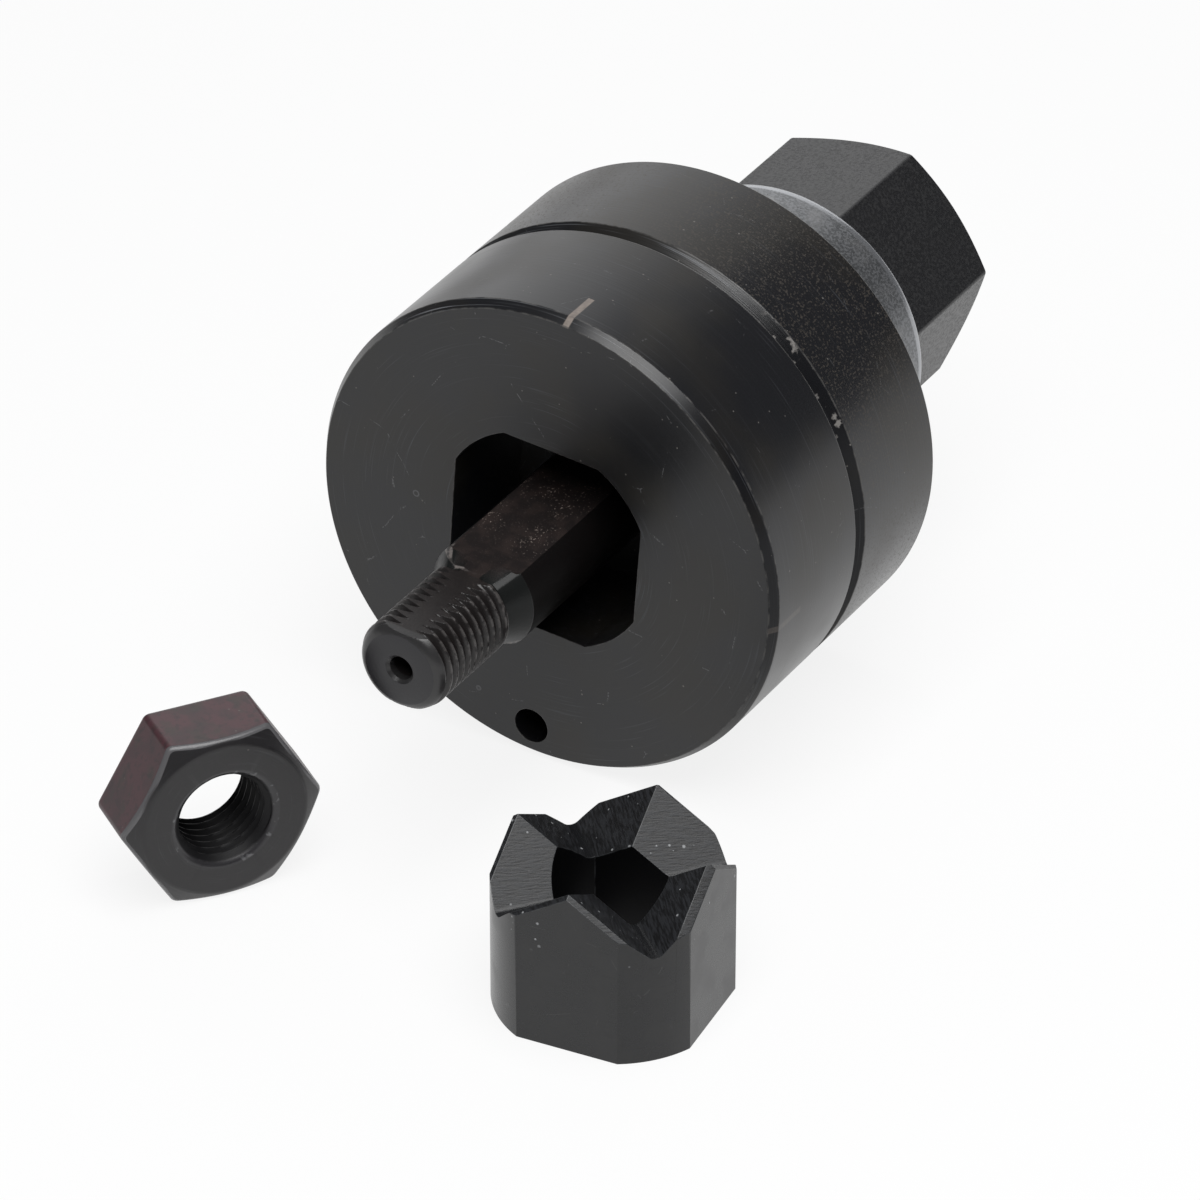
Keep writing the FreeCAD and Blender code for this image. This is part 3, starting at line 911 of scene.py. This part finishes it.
rim_turns = [math.radians(15 * k) for k in range(7)]
rim_round = [(cover_r - cover_rim_r + cover_rim_r * math.cos(a),
              cover_end - cover_rim_r + cover_rim_r * math.sin(a)) for a in rim_turns]
cover_lip = [(lip_r, cover_end), (lip_r, cover_end - lip_t), (boss_r, cover_end - lip_t)]
bearing_cover = tube("bearing_cover_sleeve",
                     [(boss_r, base_end), (cover_r, base_end)] + rim_round + cover_lip)
eased(bearing_cover, 0.08)
placed(bearing_cover, die_place, [cover_finish()], "die", "cover_steel", "bearing_cover")


# The thrust bearing sits inside the cover: two ground washers, a stamped
# brass cage and twelve hardened balls between them. None of it shows when
# the set is put together.
def bearing_finish(name, colour, roughness):
    finish = Finish(name, colour, roughness, about_die_axis, metallic=1.0)
    lines = finish.tool_lines(10.0)
    finish.layer(lines["Mask"], colour=tuple(0.8 * c for c in colour), roughness=roughness + 0.12)
    finish.layer(step(finish.tree, finish.noise(0.4, 3.0), 0.5, 0.7), roughness=roughness + 0.08)
    return finish.done()


bearing_finishes = {
    "race": bearing_finish("ground race steel", (0.5, 0.5, 0.51), 0.22),
    "cage": bearing_finish("stamped brass", (0.6, 0.43, 0.19), 0.3),
    "ball": bearing_finish("polished ball steel", (0.62, 0.62, 0.63), 0.08),
}
for cad_node, piece in frame["nodes"].items():
    for kind, finish in bearing_finishes.items():
        if kind in cad_node:
            piece.data.materials.clear()
            piece.data.materials.append(finish)


# The drive nut is a long black hexagon for a wrench, chamfered at its rear
# face. A flange on its front end is held by the cover's lip, and its bore
# carries the thread that draws the stud back.
hex_flats = 24.0
hex_from = 45.85
hex_end = 62.5
hex_chamfer = 1.3
hex_turn = math.radians(8.9)
flange_at = 42.4
flange_end = 44.15
flange_r = 13.3
hub_r = 8.0
hub_from = 37.8
hex_corner_round = 0.5
lip_gap = 0.35
drive_mouth_r = 6.4
thirty = math.radians(30)


def hexagon_outline(flats, corner_round, first_corner, corner_steps=5):
    """A hexagon with rounded corners, its first corner at the given turn."""
    corner = flats / 2 / math.cos(thirty)
    inset = corner - corner_round / math.cos(thirty)
    points = []
    for k in range(6):
        middle = first_corner + k * math.pi / 3
        for j in range(corner_steps + 1):
            turn = middle - math.pi / 6 + j * math.pi / 3 / corner_steps
            points.append((inset * math.cos(middle) + corner_round * math.cos(turn),
                           inset * math.sin(middle) + corner_round * math.sin(turn)))
    return points


def end_cones(name, corner, low, high, chamfer):
    """A lathe shape that leaves thirty degree chamfers on a hexagon's ends."""
    past = 1.0
    slope = math.tan(thirty)
    end_r = corner - (chamfer + past) / slope
    return turned(name, [
        (0, low - past),
        (end_r, low - past),
        (corner + past, low + chamfer + past * slope),
        (corner + past, high - chamfer - past * slope),
        (end_r, high + past),
        (0, high + past),
    ])


def threaded_core(name, thread, low, high, mouths, flare=0.0, steps=144, back_mouth=None):
    """A solid the shape of a threaded hole, with its countersunk mouths."""
    rows = [[(0.0, low - 1.0, 0.0)], round_row(mouths + flare, low - 1.0, steps)]
    station = low
    while station < high:
        sunk = min(station - low, high - station + mouths - (back_mouth or mouths))
        into_mouth = mouths - sunk
        if flare and sunk < flare:
            into_mouth += flare * (1 - math.sqrt(1 - (1 - sunk / flare) ** 2))
        rows.append([])
        for k in range(steps):
            turn = 2 * math.pi * k / steps
            wave = (station / thread["pitch"] - turn / (2 * math.pi)) % 1.0
            rise = min(1.0, max(0.0, 1.3 * (1 - abs(2 * wave - 1)) - 0.15))
            radius = max(into_mouth, thread["minor"] + (thread["major"] - thread["minor"]) * rise)
            rows[-1].append((radius * math.cos(turn), station, radius * math.sin(turn)))
        station += thread["pitch"] / 12
    rows += [round_row(back_mouth or mouths, high + 1.0, steps), [(0.0, high + 1.0, 0.0)]]
    return skinned(name, rows)


def hex_finish(name, on_edge):
    finish = Finish(name, (0.0085, 0.0085, 0.0095), 0.36, about_die_axis)
    about = finish.about
    finish.layer(step(finish.tree, finish.noise(3.2, 5.0), 0.45, 0.62),
                 colour=(0.016, 0.016, 0.017), roughness=0.48)
    finish.layer(step(finish.tree, finish.noise(0.22, 3.0), 0.4, 0.7),
                 colour=(0.011, 0.011, 0.012), strength=0.5)
    pores = finish.group(specks, Place=about["Place"], Spacing_mm=0.45, Size=0.16, Share=0.3)
    finish.layer(pores["Mask"], colour=(0.03, 0.03, 0.032), roughness=0.6, strength=0.6)
    rub = finish.group(scratches, Place=about["Place"], Spacing_mm=9.0, Width=0.003, Share=0.3)
    finish.layer(rub["Mask"], colour=(0.07, 0.07, 0.072), strength=0.6)
    if on_edge:
        rubbed_and_highlit_edge(finish, (0.05, 0.05, 0.052), 0.6)
    finish.relief(finish.noise(4.0, 5.0), 0.012)
    return finish.done()


hex_finishes = [hex_finish("matt black hexagon", False), hex_finish("rubbed and highlit hexagon edges", True)]


corner_r = hex_flats / 2 / math.cos(thirty)
drive_nut = prism("hexagonal_drive_nut",
                  hexagon_outline(hex_flats, hex_corner_round, hex_turn + roll), hex_from,
                  hex_end)
carve(drive_nut, end_cones("hex ends", corner_r, hex_from, hex_end, hex_chamfer), "INTERSECT")
carve(drive_nut, turned("flange and hub", [
    (0, hub_from),
    (hub_r, hub_from),
    (hub_r, flange_at),
    (flange_r, flange_at),
    (flange_r, flange_end),
    (lip_r - lip_gap, flange_end),
    (lip_r - lip_gap, hex_from + hex_chamfer),
    (0, hex_from + hex_chamfer),
]), "UNION")
drive_thread = {"minor": stud_r + guide_gap, "major": stud_r + 0.5, "pitch": rear_thread["pitch"]}
eased(drive_nut, 0.12, 40)
carve(drive_nut, threaded_core("drive thread", drive_thread, hub_from, hex_end, drive_mouth_r))
placed(drive_nut, die_place, hex_finishes, "drive", "hex_steel", "drive_nut")


# The punch is a round bar with four flats. Two V grooves cross its end on the
# diagonals and leave four pointed ears that shear the sheet one after another.
# The oxide is black, and the bevels on the ears' outer edges are ground bright.
punch_mount = next(m for m in frame["record"]["mounts"] if m["name"] == "punch_keyed_hole")
punch_centre = Vector(punch_mount["pos_m"])
punch_yaw = math.radians(6.24)
punch_place = Matrix.Translation(punch_centre) @ Matrix.Rotation(punch_yaw, 4,
                                                                 "Z") @ Matrix.Scale(mm, 4)
stand_up = Matrix.Rotation(math.radians(90), 4, "X")
punch_r = 11.25
punch_half_flats = 10.05
valley = 11.0
crown_slope = 0.9
valley_round = 1.0
ear_bevel = 0.55
hand_ground = 0.9
hole_sink = 0.4
keyed_gap = 0.08
keyed_flat_gap = 0.18
ear_peak = valley + crown_slope * punch_half_flats / math.sqrt(2)


def standing(piece, turn=0.0):
    """Stands a bar made along Y on its end, or turns a level one about Z."""
    piece.data.transform(Matrix.Rotation(turn, 4, "Z") if turn else stand_up)
    return piece


def groove_outline():
    """A V with a rounded root, as (across, height) points."""
    tilt = math.atan(crown_slope)
    centre = valley + valley_round / math.cos(tilt)
    root = [(valley_round * math.sin(tilt * k / 8),
             centre - valley_round * math.cos(tilt * k / 8)) for k in range(-8, 9)]
    reach = 16.0
    return root + [(reach, valley + crown_slope * reach), (-reach, valley + crown_slope * reach)]


def bevel_wedge(ear, side):
    """A bar that takes the sharp outer edge off one side of one ear."""
    drop = crown_slope / math.sqrt(2)
    fall = Vector((0, side, -drop)).normalized()
    peak = Vector((punch_half_flats, 0, ear_peak))
    up_slope = fall.cross(Vector((-drop, side * drop, 1))).normalized()
    inward = up_slope if up_slope.x < 0 else -up_slope
    down_flat = fall.cross(Vector((1, 0, 0)))
    downward = down_flat if down_flat.z < 0 else -down_flat
    width = hand_ground if (ear, side) == (0, -1) else ear_bevel
    on_slope = peak + width * inward
    on_flat = peak + width * downward
    spread = (on_slope - on_flat).normalized()
    outward = (peak - (on_slope + on_flat) / 2).normalized()
    corners = [on_slope + spread, on_flat - spread,
               on_flat - spread + 2 * outward, on_slope + spread + 2 * outward]
    flat_l = math.sqrt(punch_r ** 2 - punch_half_flats ** 2) / abs(fall.y)
    wedge = skinned("bevel wedge", [[corner + fall * reach for corner in corners]
                                    for reach in (-1.5 * ear_bevel, 1.8 * flat_l)])
    shape = bmesh.new()
    shape.from_mesh(wedge.data)
    bmesh.ops.holes_fill(shape, edges=shape.edges)
    bmesh.ops.recalc_face_normals(shape, faces=shape.faces)
    shape.to_mesh(wedge.data)
    shape.free()
    wedge.data.transform(Matrix.Rotation(ear * math.pi / 2, 4, "Z"))
    return wedge


about_punch_axis = round_about("about the punch's axis", punch_centre, Vector((0, 0, 1)))


def brushed(finish, heading, along, across):
    """A noise drawn out along a level heading, for ground or brushed steel."""
    turned_place = node(finish.tree, "ShaderNodeVectorRotate", {"Angle": -heading},
                        rotation_type="Z_AXIS")
    finish.tree.links.new(finish.about["Place"], turned_place.inputs["Vector"])
    stretched = node(finish.tree, "ShaderNodeMapping")
    stretched.inputs["Scale"].default_value = (along, across, across)
    finish.tree.links.new(turned_place.outputs[0], stretched.inputs["Vector"])
    return finish.noise(1.0, 5.0, stretched.outputs[0])


def punch_finish(name, on_edge):
    """Black oxide, smooth on the sides and brushed along the grooves, with painted shade in the bore."""
    finish = Finish(name, (0.0085, 0.0088, 0.0098), 0.27, about_punch_axis)
    about = finish.about
    tree = finish.tree
    upward = facing(tree, (0, 0, 1), 0.3, 0.5)
    outside = step(tree, about["Radius"], 8.0, 9.0)
    sideways = product(tree, inverse(tree, upward), outside)
    finish.layer(product(tree, step(tree, finish.noise(0.3, 4.0), 0.45, 0.65), sideways),
                 colour=(0.0125, 0.0125, 0.0128), roughness=0.34, strength=0.8)
    smear = node(tree, "ShaderNodeMapping")
    smear.inputs["Scale"].default_value = (0.5, 0.5, 3.4)
    tree.links.new(about["Place"], smear.inputs["Vector"])
    smears = finish.noise(1.0, 4.0, smear.outputs[0])
    finish.layer(product(tree, step(tree, smears, 0.58, 0.72), sideways),
                 colour=(0.0045, 0.0045, 0.005), roughness=0.3, strength=0.5)
    eighth = math.pi / 4
    first_way = Vector((math.cos(punch_yaw + eighth), math.sin(punch_yaw + eighth), 0))
    second_way = Vector((-first_way.y, first_way.x, 0))
    for way, heading in ((first_way, punch_yaw - eighth), (second_way, punch_yaw + eighth)):
        slope = maths(tree, "MAXIMUM", facing(tree, way, 0.3, 0.5), facing(tree, -way, 0.3, 0.5))
        slope = product(tree, slope, upward)
        grain = brushed(finish, heading, 0.35, 5.5)
        finish.layer(slope, colour=(0.005, 0.005, 0.0055), roughness=0.4)
        finish.layer(product(tree, step(tree, grain, 0.42, 0.6), slope),
                     colour=(0.0175, 0.0185, 0.021), roughness=0.46)
        finish.relief(product(tree, grain, slope), 0.032)
    chips = finish.group(specks, Place=about["Place"], Spacing_mm=0.8, Size=0.2, Share=0.2)
    crown = step(tree, about["Station"], 10.0, 11.5)
    finish.layer(product(tree, chips["Mask"], crown), colour=(0.4, 0.41, 0.42), roughness=0.5,
                 strength=0.7)
    rub = finish.group(scratches, Place=about["Place"], Spacing_mm=6.0, Width=0.008, Share=0.4)
    finish.layer(product(tree, rub["Mask"], outside), colour=(0.06, 0.06, 0.06), strength=0.5)
    # Painted shade: the bore is painted near black and its shine taken down.
    bore = product(tree, inverse(tree, outside), inverse(tree, upward))
    finish.layer(bore, colour=(0.003, 0.003, 0.0035), roughness=0.4)
    finish.dull(bore, 0.12)
    if on_edge:
        rubbed_and_highlit_edge(finish, (0.04, 0.042, 0.045), 0.6)
    return finish.done()


def ground_ear():
    finish = Finish("ground ear steel", (0.26, 0.265, 0.275), 0.34, about_punch_axis,
                    metallic=0.9)
    grain = finish.noise(2.5, 4.0)
    finish.layer(step(finish.tree, grain, 0.5, 0.62), colour=(0.16, 0.165, 0.17), roughness=0.4)
    near_peak = step(finish.tree, finish.about["Station"], valley + 2.0, ear_peak)
    finish.layer(near_peak, colour=(0.6, 0.61, 0.64), roughness=0.42, strength=0.9)
    finish.relief(grain, 0.003)
    return finish.done()


def on_ear_bevel(face):
    """True for the narrow faces between an ear's slope and its flat."""
    outward = max(abs(face.normal.x), abs(face.normal.y))
    return 0.55 < outward < 0.93 and face.normal.z > 0.2 and face.center.z > valley


punch = standing(prism("four_eared_punch", flatted_outline(punch_r, punch_half_flats), 0,
                       ear_peak + 3))
for ear in range(4):
    for side in (1, -1):
        carve(punch, bevel_wedge(ear, side))
for turn in (45, -45):
    carve(punch,
          standing(prism("groove", groove_outline(), -2 * punch_r, 2 * punch_r),
                   math.radians(turn)))
keyed_hole = keyed_outline(stud_r + keyed_gap, stud_half_flats + keyed_flat_gap)
carve(punch, standing(prism("keyed hole", keyed_hole, -1, ear_peak)))
sink_r = stud_r + keyed_gap
carve(punch, standing(turned("hole sink", [(0, -0.1), (sink_r + hole_sink + 0.1, -0.1),
                                           (sink_r, hole_sink), (0, hole_sink)], 96)))
eased(punch, 0.07)
for face in punch.data.polygons:
    if face.material_index == 0 and on_ear_bevel(face):
        face.material_index = 2
placed(punch, punch_place,
       [punch_finish("punch black oxide", False), punch_finish("punch rubbed and highlit edges", True),
        ground_ear()], "punch", "punch_steel", "punch")


# The punch nut is a hexagon nut with soft rims, chamfered on its front face.
# Its black oxide has rubbed brown on the flats. It stands on one of them, and
# in use it holds the punch on the stud's front thread.
nut_mount = next(m for m in frame["record"]["mounts"] if m["name"] == "nut_thread")
nut_flats = 17.46
nut_t = 7.4
nut_chamfer = 1.15
nut_round = 0.8
nut_minor_r = 4.2
nut_major_r = 4.76
nut_mouth_r = 5.15
nut_mouth_flare = 0.25
nut_back_mouth_r = 4.6
nut_axis = -Vector(nut_mount["axis"])
nut_middle = Vector(nut_mount["pos_m"])
nut_yaw = math.atan2(nut_axis.y, nut_axis.x) - math.pi / 2
nut_place = (Matrix.Translation(nut_middle) @ Matrix.Rotation(nut_yaw, 4, "Z")
             @ Matrix.Scale(mm, 4) @ Matrix.Translation((0, -nut_t / 2, 0)))
about_nut_axis = round_about("about the punch nut's axis", nut_middle, nut_axis)


def nut_finish(name, on_edge):
    """Black on the turned faces and purple brown on the flats of the bar, with painted shade in the thread and
    painted highlights at the mouth and the front rims.
    """
    finish = Finish(name, (0.0135, 0.0125, 0.0135), 0.34, about_nut_axis)
    about = finish.about
    tree = finish.tree
    along = maths(tree, "MAXIMUM", facing(tree, nut_axis, 0.2, 0.5),
                  facing(tree, -nut_axis, 0.2, 0.5))
    flat = product(tree, inverse(tree, along), step(tree, about["Radius"], 7.0, 7.5))
    cloud = maths(tree, "ADD", 0.55, step(tree, finish.noise(0.35, 3.0), 0.35, 0.7))
    finish.layer(product(tree, flat, cloud), colour=(0.06, 0.0235, 0.0285), roughness=0.4)
    stain = product(tree, step(tree, finish.noise(0.42, 4.0), 0.52, 0.66), flat)
    finish.layer(stain, colour=(0.03, 0.026, 0.022), strength=0.7)
    finish.layer(step(tree, finish.noise(1.4, 4.0), 0.5, 0.66), colour=(0.016, 0.0145, 0.0155),
                 strength=0.5)
    lines = finish.tool_lines(5.0)
    finish.layer(product(tree, lines["Mask"], along), colour=(0.03, 0.03, 0.032), strength=0.7)
    chips = finish.group(specks, Place=about["Place"], Spacing_mm=0.8, Size=0.13, Share=0.14)
    finish.layer(chips["Mask"], colour=(0.1, 0.085, 0.08), strength=0.7)
    # Painted shade: the thread inside the bore is painted near black and its shine taken down.
    thread_in_shade = inverse(tree, step(tree, about["Radius"], 4.7, 4.95))
    finish.layer(thread_in_shade, colour=(0.004, 0.0038, 0.0045), roughness=0.5)
    finish.dull(thread_in_shade, 0.25)
    # The countersunk mouth is painted paler and glossier as a painted highlight, with pale nicks that are part
    # wear and part painted highlight.
    at_mouth = product(tree, step(tree, about["Radius"], 4.75, 4.95),
                       inverse(tree, step(tree, about["Radius"], 5.3, 5.5)))
    finish.layer(at_mouth, colour=(0.03, 0.029, 0.032), roughness=0.28, strength=0.6)
    nicks_and_glints = product(tree, step(tree, finish.noise(1.1, 4.0), 0.56, 0.64), at_mouth)
    finish.layer(nicks_and_glints, colour=(0.12, 0.12, 0.125), roughness=0.28, strength=0.8)
    if on_edge:
        # Painted highlight: the rounded rims at the front face are painted pale, where the light catches them.
        front = inverse(tree, step(tree, about["Station"], -0.5, 0.5))
        rim = product(tree, step(tree, about["Radius"], 8.4, 8.7), front)
        finish.layer(rim, colour=(0.1, 0.098, 0.102), roughness=0.24)
    finish.relief(product(tree, lines["Height"], along), 0.008)
    return finish.done()


nut_corner = nut_flats / 2 / math.cos(thirty)
nut_face_r = nut_corner - nut_chamfer / math.tan(thirty)
nut_face_soft = 0.25
nut_rim_soft = 0.42
nut_back_soft = 0.5


def split_outline(outline, length):
    """An outline of points with its long straights cut into short lengths."""
    points = []
    for here, after in zip(outline, outline[1:] + outline[:1]):
        count = max(1, round(math.dist(here, after) / length))
        points += [Vector(here).lerp(Vector(after), k / count) for k in range(count)]
    return points


def softened(corners, reaches, steps=8):
    """A profile whose inner corners are rounded, each over its own reach."""
    points = [Vector(corners[0])]
    for before, corner, after, reach in zip(corners, corners[1:], corners[2:], reaches):
        middle = Vector(corner)
        start = middle + (Vector(before) - middle).normalized() * reach
        end = middle + (Vector(after) - middle).normalized() * reach
        for k in range(steps + 1):
            points.append(start.lerp(middle, k / steps).lerp(middle.lerp(end, k / steps),
                                                             k / steps))
    return points + [Vector(corners[-1])]


def nut_rows():
    """The nut's blank, as rings from the middle of its face round to its back."""
    sections = []
    for point in split_outline(hexagon_outline(nut_flats, nut_round, 0.0, 8), 0.6):
        side_r = point.length
        chamfer_end = nut_chamfer - (nut_corner - side_r) * math.tan(thirty)
        profile = softened([(0, 0), (nut_face_r, 0), (side_r, chamfer_end), (side_r, nut_t),
                            (0, nut_t)], (nut_face_soft, nut_rim_soft, nut_back_soft))
        heading = point.normalized()
        sections.append([(radius * heading.x, station, radius * heading.y) for radius,
                         station in profile])
    rows = [list(row) for row in zip(*sections)]
    return [rows[0][:1]] + rows[1:-1] + [rows[-1][:1]]


def on_nut_rim(face):
    """True for the rounded faces between the nut's flats and its two ends."""
    return math.hypot(face.center.x,
                      face.center.z) > nut_face_r and 0.06 < abs(face.normal.y) < 0.84


punch_nut = skinned("hexagonal_punch_nut", nut_rows())
nut_thread = {"minor": nut_minor_r, "major": nut_major_r, "pitch": front_thread["pitch"]}
carve(punch_nut, threaded_core("nut thread", nut_thread, 0, nut_t, nut_mouth_r, nut_mouth_flare,
                               back_mouth=nut_back_mouth_r))
for face in punch_nut.data.polygons:
    face.material_index = 1 if on_nut_rim(face) else 0
placed(punch_nut, nut_place,
       [nut_finish("rubbed brown oxide", False), nut_finish("nut rims with painted highlight", True)],
       "punch_nut", "nut_steel", "punch_nut")


bpy.context.scene.view_settings.view_transform = "Standard"
